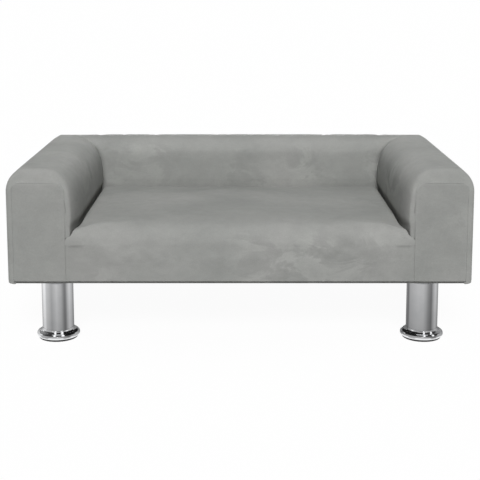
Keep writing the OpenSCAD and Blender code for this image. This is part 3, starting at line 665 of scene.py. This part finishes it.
def mix_node(nodes, links, a, b, factor, blend="MIX"):
    node = nodes.new("ShaderNodeMix")
    node.data_type = "RGBA"
    node.blend_type = blend
    for socket, value in ((node.inputs[0], factor), (node.inputs[6], a), (node.inputs[7], b)):
        if isinstance(value, (int, float)):
            socket.default_value = value
        elif isinstance(value, tuple):
            socket.default_value = (*value, 1)
        else:
            links.new(value, socket)
    return node.outputs[2]


def scaled_place(nodes, links, scale=(1, 1, 1), shift=(0, 0, 0)):
    """The place on the part, stretched and shifted."""
    place = nodes.new("ShaderNodeTexCoord")
    mapping = nodes.new("ShaderNodeMapping")
    mapping.inputs["Scale"].default_value = scale
    mapping.inputs["Location"].default_value = shift
    links.new(place.outputs["Object"], mapping.inputs["Vector"])
    return mapping.outputs["Vector"]


VELVET_TONES = [(0.34, (0.266, 0.272, 0.261)), (0.5, (0.290, 0.295, 0.283)), (0.66, (0.310, 0.312, 0.301))]
PATCH_SHIFT = (7.7, 3.2, 2.2)
PATCH_TONES = [
    (0.36, (0.84, 0.845, 0.84)), (0.47, (0.975, 0.975, 0.975)),
    (0.525, (1.19, 1.19, 1.185)), (0.7, (1.06, 1.06, 1.06))
]


def velvet_material():
    material, nodes, links, shader = new_material("velvet")
    place = scaled_place(nodes, links)
    cloud = noise_node(nodes, links, place, 7, 4, 0.55, 0.5)
    colour = ramp_node(nodes, links, cloud.outputs["Fac"], VELVET_TONES).outputs["Color"]

    # pile brushed the other way: soft patches with a sharper side, gathered in a few places, faint on the tops
    stroke = noise_node(nodes, links, scaled_place(nodes, links, (1.0, 1.0, 1.5), PATCH_SHIFT), 14, 7, 0.62, 0.7)
    patch = ramp_node(nodes, links, stroke.outputs["Fac"], PATCH_TONES)
    gather = noise_node(nodes, links, scaled_place(nodes, links, (1.3, 1.0, 1.0), PATCH_SHIFT), 4.5, 2, 0.5)
    gathered = ramp_node(nodes, links, gather.outputs["Fac"], greys((0.44, 0.12), (0.6, 1)))
    facing = nodes.new("ShaderNodeNewGeometry")
    parts = nodes.new("ShaderNodeSeparateXYZ")
    links.new(facing.outputs["True Normal"], parts.inputs[0])
    upright = ramp_node(nodes, links, parts.outputs["Z"], greys((0.25, 1), (0.75, 0.12)))
    share = mix_node(nodes, links, gathered.outputs["Color"], upright.outputs["Color"], 1.0, "MULTIPLY")
    brushed = mix_node(nodes, links, colour, patch.outputs["Color"], 1.0, "MULTIPLY")
    colour = mix_node(nodes, links, colour, brushed, share)

    mottle = noise_node(nodes, links, scaled_place(nodes, links, (1, 1, 1.4)), 62, 6, 0.68, 0.4)
    mottle_ramp = ramp_node(nodes, links, mottle.outputs["Fac"], greys((0.3, 0.93), (0.7, 1.06)))
    colour = mix_node(nodes, links, colour, mottle_ramp.outputs["Color"], 0.7, "MULTIPLY")
    fibre = noise_node(nodes, links, place, 900, 2, 0.6)
    fibre_ramp = ramp_node(nodes, links, fibre.outputs["Fac"], greys((0.3, 0.91), (0.7, 1.07)))
    colour = mix_node(nodes, links, colour, fibre_ramp.outputs["Color"], 0.6, "MULTIPLY")
    links.new(colour, shader.inputs["Base Color"])
    shader.inputs["Roughness"].default_value = 0.88
    shader.inputs["Specular IOR Level"].default_value = 0.04
    shader.inputs["Sheen Weight"].default_value = 0.05
    shader.inputs["Sheen Roughness"].default_value = 0.4
    shader.inputs["Sheen Tint"].default_value = (0.82, 0.84, 0.82, 1)

    pile = bump_node(nodes, links, noise_node(nodes, links, place, 1500, 2, 0.6), 0.25, 0.0005)
    soft = noise_node(nodes, links, place, 42, 3, 0.5, 0.6)
    links.new(bump_node(nodes, links, soft, 0.3, 0.001, pile), shader.inputs["Normal"])
    return material


CHROME_TONES = [(0.3, (0.85, 0.86, 0.875)), (0.7, (0.91, 0.915, 0.925))]


def chrome_material():
    material, nodes, links, shader = new_material("chrome")
    tone = noise_node(nodes, links, scaled_place(nodes, links), 60, 3)
    colour = ramp_node(nodes, links, tone.outputs["Fac"], CHROME_TONES)
    links.new(colour.outputs["Color"], shader.inputs["Base Color"])
    shader.inputs["Metallic"].default_value = 1.0
    haze = noise_node(nodes, links, scaled_place(nodes, links, (1, 1, 0.05)), 700, 3, 0.6)
    rough = nodes.new("ShaderNodeMapRange")
    rough.inputs["To Min"].default_value = 0.03
    rough.inputs["To Max"].default_value = 0.07
    links.new(haze.outputs["Fac"], rough.inputs["Value"])
    links.new(rough.outputs["Result"], shader.inputs["Roughness"])
    links.new(bump_node(nodes, links, haze, 0.04, 0.0002), shader.inputs["Normal"])
    return material


def steel_material():
    material, nodes, links, shader = new_material("steel")
    grain = noise_node(nodes, links, scaled_place(nodes, links), 350, 4, 0.6)
    colour = ramp_node(nodes, links, grain.outputs["Fac"], [(0.3, (0.46, 0.47, 0.49)), (0.7, (0.62, 0.63, 0.64))])
    links.new(colour.outputs["Color"], shader.inputs["Base Color"])
    shader.inputs["Metallic"].default_value = 1.0
    shader.inputs["Roughness"].default_value = 0.38
    links.new(bump_node(nodes, links, grain, 0.12, 0.0003), shader.inputs["Normal"])
    return material


WOOD_TONES = [(0.3, (0.52, 0.37, 0.21)), (0.55, (0.64, 0.48, 0.30)), (0.75, (0.70, 0.55, 0.36))]


def wood_material():
    material, nodes, links, shader = new_material("frame_wood")
    grain = noise_node(nodes, links, scaled_place(nodes, links, (4, 60, 60)), 6, 5, 0.6, 0.4)
    colour = ramp_node(nodes, links, grain.outputs["Fac"], WOOD_TONES)
    links.new(colour.outputs["Color"], shader.inputs["Base Color"])
    shader.inputs["Roughness"].default_value = 0.7
    links.new(bump_node(nodes, links, grain, 0.2, 0.0004), shader.inputs["Normal"])
    return material


def grainy_material(name, low, high, scale, roughness, depth):
    """Foam, rubber or cloth: two tones and the relief of one fine grain."""
    material, nodes, links, shader = new_material(name)
    grain = noise_node(nodes, links, scaled_place(nodes, links), scale, 3, 0.6)
    colour = ramp_node(nodes, links, grain.outputs["Fac"], [(0.3, low), (0.7, high)])
    links.new(colour.outputs["Color"], shader.inputs["Base Color"])
    shader.inputs["Roughness"].default_value = roughness
    links.new(bump_node(nodes, links, grain, 0.4, depth), shader.inputs["Normal"])
    return material


# Studio

def seen_white(nodes, links, lit, white_share):
    """Mixes plain white into a shader for camera, mirror and glass rays only."""
    path = nodes.new("ShaderNodeLightPath")
    seen = math_node(nodes, links, "MAXIMUM", path.outputs["Is Camera Ray"], path.outputs["Is Glossy Ray"])
    seen = math_node(nodes, links, "MAXIMUM", seen, path.outputs["Is Transmission Ray"])
    white = nodes.new("ShaderNodeEmission")
    white.inputs["Color"].default_value = (1, 1, 1, 1)
    white.inputs["Strength"].default_value = 1.0
    mix = nodes.new("ShaderNodeMixShader")
    links.new(math_node(nodes, links, "MULTIPLY", seen, white_share), mix.inputs[0])
    links.new(lit, mix.inputs[1])
    links.new(white.outputs[0], mix.inputs[2])
    return mix.outputs[0]


FLOOR_HALF, FLOOR_WHITE = 40.0, 0.955


def add_floor():
    material, nodes, links, shader = new_material("floor")
    path = nodes.new("ShaderNodeLightPath")
    colour = mix_node(nodes, links, (0.28, 0.28, 0.28), (0.98, 0.98, 0.98), path.outputs["Is Camera Ray"])
    links.new(colour, shader.inputs["Base Color"])
    shader.inputs["Roughness"].default_value = 0.9
    shader.inputs["Specular IOR Level"].default_value = 0.0
    lit = shader.outputs[0]
    links.new(seen_white(nodes, links, lit, FLOOR_WHITE), nodes["Material Output"].inputs["Surface"])
    mesh = bpy.data.meshes.new("floor")
    s = FLOOR_HALF
    mesh.from_pydata([(-s, -s, 0), (s, -s, 0), (s, s, 0), (-s, s, 0)], [], [(0, 1, 2, 3)])
    mesh.materials.append(material)
    floor = bpy.data.objects.new("floor", mesh)
    scene.collection.objects.link(floor)


def add_world():
    world = bpy.data.worlds.new("world")
    world.use_nodes = True
    nodes, links = world.node_tree.nodes, world.node_tree.links
    lit = nodes["Background"]
    lit.inputs["Color"].default_value = (1, 1, 1, 1)
    lit.inputs["Strength"].default_value = 0.22
    links.new(seen_white(nodes, links, lit.outputs[0], 1.0), nodes["World Output"].inputs["Surface"])
    scene.world = world


def add_sun(name, toward, strength, width):
    """A soft lamp far away. toward points from the part to the lamp, width is how wide it looks, in degrees."""
    data = bpy.data.lights.new(name, "SUN")
    data.energy = strength
    data.angle = math.radians(width)
    lamp = bpy.data.objects.new(name, data)
    lamp.rotation_euler = Vector(toward).to_track_quat("Z", "Y").to_euler()
    lamp.location = Vector(toward) * 3
    scene.collection.objects.link(lamp)


# Reflection cards round the left (-1) and the right (1) legs: the strength of the tent at its foot and top, and the
# tones round a leg, from behind it over its left side, front and right side, as (share of the way round, tone)
TENT_STRENGTH = {-1: (0.7, 1.07), 1: (0.63, 0.97)}
TUBE_TONES = {
    -1: [(0.0, 0.25), (0.13, 0.38), (0.172, 0.65), (0.25, 0.95), (0.285, 0.9), (0.314, 0.63), (0.375, 0.52),
         (0.42, 0.41), (0.505, 0.57), (0.578, 0.43), (0.62, 0.25), (0.64, 0.19), (0.664, 0.27), (0.687, 0.45),
         (0.736, 0.66), (0.79, 0.54), (0.864, 0.31), (0.917, 0.36), (1.0, 0.25)],
    1: [(0.0, 0.2), (0.05, 0.24), (0.156, 0.29), (0.193, 0.17), (0.222, 0.33), (0.25, 0.45), (0.339, 0.52),
        (0.411, 0.57), (0.494, 0.56), (0.536, 0.45), (0.579, 0.29), (0.632, 0.19), (0.672, 0.43), (0.728, 0.65),
        (0.796, 0.48), (0.841, 0.33), (0.917, 0.27), (1.0, 0.2)]
}
# What the foot's rim shows
RIM_TONES = {
    -1: [(0.0, 0.1), (0.12, 0.35), (0.17, 0.95), (0.33, 0.95), (0.345, 0.42), (0.42, 0.42), (0.435, 0.88),
         (0.56, 0.85), (0.575, 0.42), (0.63, 0.42), (0.645, 0.9), (0.675, 0.85), (0.7, 0.5), (0.8, 0.45),
         (0.87, 0.25), (1.0, 0.1)],
    1: [(0.0, 0.1), (0.15, 0.3), (0.24, 0.4), (0.26, 0.95), (0.34, 0.9), (0.355, 0.5), (0.41, 0.5), (0.425, 0.88),
        (0.555, 0.85), (0.57, 0.4), (0.62, 0.4), (0.635, 0.85), (0.69, 0.8), (0.71, 0.42), (0.85, 0.4), (1.0, 0.1)]
}
# What the foot's hollow upper face shows
HOLLOW_TONES = {
    -1: [(0.0, 0.02), (0.1, 0.1), (0.2, 0.3), (0.34, 0.14), (0.37, 0.05), (0.462, 0.04), (0.475, 1.2),
         (0.486, 1.2), (0.5, 0.03), (0.55, 0.03), (0.566, 1.2), (0.582, 1.2), (0.592, 0.01), (0.85, 0.01),
         (1.0, 0.02)],
    1: [(0.0, 0.02), (0.15, 0.01), (0.494, 0.02), (0.502, 1.2), (0.514, 1.2), (0.523, 0.04), (0.594, 0.04),
        (0.604, 1.2), (0.62, 1.2), (0.63, 0.03), (0.69, 0.05), (0.74, 0.25), (0.85, 0.3), (1.0, 0.02)]
}

# The two edges of each card, as (radius, z) in metres. The tent stands round the tube, the others lie flat.
TENT = (0.062, 0.0), (0.062, 0.0915)
CARD_UNDER = (0.0345, 0.0005), (0.062, 0.0005)
CARD_RIM = (0.05, 0.024), (0.062, 0.024)
CARD_HOLLOW = (0.0255, 0.024), (0.05, 0.024)


def tent_material(name, tones, low=1.0, high=1.0, one_sided=False):
    """Light with tones along the card's length, from low to high strength across it."""
    material = bpy.data.materials.new(name)
    material.use_nodes = True
    nodes, links = material.node_tree.nodes, material.node_tree.links
    nodes.clear()
    uv = nodes.new("ShaderNodeUVMap")
    split = nodes.new("ShaderNodeSeparateXYZ")
    links.new(uv.outputs["UV"], split.inputs[0])
    ramp = ramp_node(nodes, links, split.outputs["X"], greys(*tones))
    up = nodes.new("ShaderNodeMapRange")
    up.inputs["To Min"].default_value = low
    up.inputs["To Max"].default_value = high
    links.new(split.outputs["Y"], up.inputs["Value"])
    light = nodes.new("ShaderNodeEmission")
    links.new(ramp.outputs["Color"], light.inputs["Color"])
    links.new(up.outputs["Result"], light.inputs["Strength"])
    out = nodes.new("ShaderNodeOutputMaterial")
    seen = light.outputs[0]
    if one_sided:
        facing = nodes.new("ShaderNodeNewGeometry")
        clear = nodes.new("ShaderNodeBsdfTransparent")
        mix = nodes.new("ShaderNodeMixShader")
        links.new(facing.outputs["Backfacing"], mix.inputs[0])
        links.new(seen, mix.inputs[1])
        links.new(clear.outputs[0], mix.inputs[2])
        seen = mix.outputs[0]
    links.new(seen, out.inputs["Surface"])
    return material


def add_card(name, mesh):
    """A piece of the stage that only mirror rays see."""
    card = bpy.data.objects.new(name, mesh)
    scene.collection.objects.link(card)
    card.visible_camera = card.visible_diffuse = card.visible_shadow = card.visible_transmission = False


def add_leg_tents():
    """The cards of each leg: a toned tent round it, one card under its foot's rim and two over it."""
    cards = {}
    for side, name in ((-1, "left"), (1, "right")):
        rim, hollow = RIM_TONES[side], HOLLOW_TONES[side]
        cards[side] = (
            ("tent", *TENT, tent_material(f"tent_{name}", TUBE_TONES[side], *TENT_STRENGTH[side])),
            ("card_under", *CARD_UNDER, tent_material(f"card_under_{name}", rim)),
            ("card_rim", *CARD_RIM, tent_material(f"card_rim_{name}", rim, one_sided=True)),
            ("card_hollow", *CARD_HOLLOW, tent_material(f"card_hollow_{name}", hollow, one_sided=True))
        )
    for k, (sx, sy) in enumerate(((-1, -1), (1, -1), (-1, 1), (1, 1))):
        for name, low, high, material in cards[sx]:
            add_card(f"{name}_{k}", ring_mesh((sx * LEG_X * MM, sy * LEG_Y * MM), low, high, material))


def ring_mesh(centre, low, high, material, n=96):
    """A ring of n faces between two edges (radius, z), with the way round and the way up as its UV."""
    points, faces, uvs = [], [], []
    for i in range(n + 1):
        a = 2 * math.pi * i / n
        for r, z in (low, high):
            points.append((centre[0] - r * math.sin(a), centre[1] + r * math.cos(a), z))
    for i in range(n):
        faces.append((2 * i, 2 * i + 2, 2 * i + 3, 2 * i + 1))
        uvs += [(i / n, 0), ((i + 1) / n, 0), ((i + 1) / n, 1), (i / n, 1)]
    mesh = bpy.data.meshes.new("ring")
    mesh.from_pydata(points, [], faces)
    layer = mesh.uv_layers.new(name="UVMap")
    for loop, value in zip(layer.data, uvs):
        loop.uv = value
    mesh.materials.append(material)
    return mesh


# Assembly

def dress(obj, material, nodes):
    """Gives a piece its material, attaches it to the root body and hides the nodes of the part it stands for."""
    obj.data.materials.clear()
    obj.data.materials.append(material)
    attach(obj, "root")
    if nodes:
        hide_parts(*nodes)


scene.view_settings.view_transform = "Standard"
add_camera()
add_floor()
add_world()
for sun in (
    ("key", (0, -0.8, 0.6), 2.95, 22), ("top", (0, 0.6, 0.8), 0.5, 60), ("fill_left", (-1, 0, 0.03), 0.9, 5),
    ("fill_right", (1, 0, 0.03), 0.9, 5), ("fill_rear", (0, 1, 0.03), 1.3, 5)
):
    add_sun(*sun)
add_leg_tents()

velvet = velvet_material()
chrome = chrome_material()
steel = steel_material()
wood = wood_material()
foam = grainy_material("foam", (0.70, 0.66, 0.50), (0.85, 0.82, 0.68), 400, 0.95, 0.0006)
black = grainy_material("glide_black", (0.012, 0.012, 0.012), (0.03, 0.03, 0.03), 240, 0.55, 0.0003)
cloth = grainy_material("dust_cloth", (0.008, 0.008, 0.008), (0.03, 0.03, 0.03), 900, 0.95, 0.0004)

SLOT_MATERIALS = {
    "velvet": velvet, "foam": foam, "frame_wood": wood, "chrome": chrome, "steel": steel,
    "glide_black": black, "dust_cloth": cloth
}
for part in frame["record"]["subparts"]:
    node = frame["nodes"][part["node"]]
    node.data.materials.clear()
    node.data.materials.append(SLOT_MATERIALS[part["material_slot"]])

arm_outer, arm_inner = arm_grid(0), arm_grid(PAD_T)
for side in ("right", "left"):
    turn = mirrored if side == "left" else np.array
    pad = closed_grid(f"{side}_arm_pad", turn(arm_outer), turn(arm_inner))
    dress(pad, velvet, [f"{side}_arm_cover", f"{side}_arm_foam", f"{side}_arm_rear_foam"])
    panel = closed_grid(f"{side}_arm_front_pad", turn(front_panel_grid(0)), turn(front_panel_grid(PAD_T)))
    dress(panel, velvet, [f"{side}_arm_front_cover", f"{side}_arm_front_foam"])

seat_outer = seat_grid(0)
seat = closed_grid("seat_pad", seat_outer, seat_grid(PAD_T))
settle(seat, pressure=3.0, cap_mm=2.2, free=border_freedom(seat_outer, held=(9, 9, 18, 6), width=6))
dress(seat, velvet, ["seat_cover", "seat_foam"])

back_outer = back_grid(0)
back = closed_grid("back_pad", back_outer, back_grid(PAD_T))
settle(back, pressure=3.0, cap_mm=1.6, free=border_freedom(back_outer, held=(6, 6, 5, 3), width=5))
dress(back, velvet, ["back_cover", "back_foam"])

rear = closed_grid("rear_pad", rear_grid(0), rear_grid(PAD_T))
dress(rear, velvet, ["rear_cover", "rear_foam"])

upper, lower = dust_grid()
dust = closed_grid("dust_cloth", upper, lower)
dress(dust, cloth, ["dust_cover"])
staples = staple_mesh()
dress(staples, steel, [])
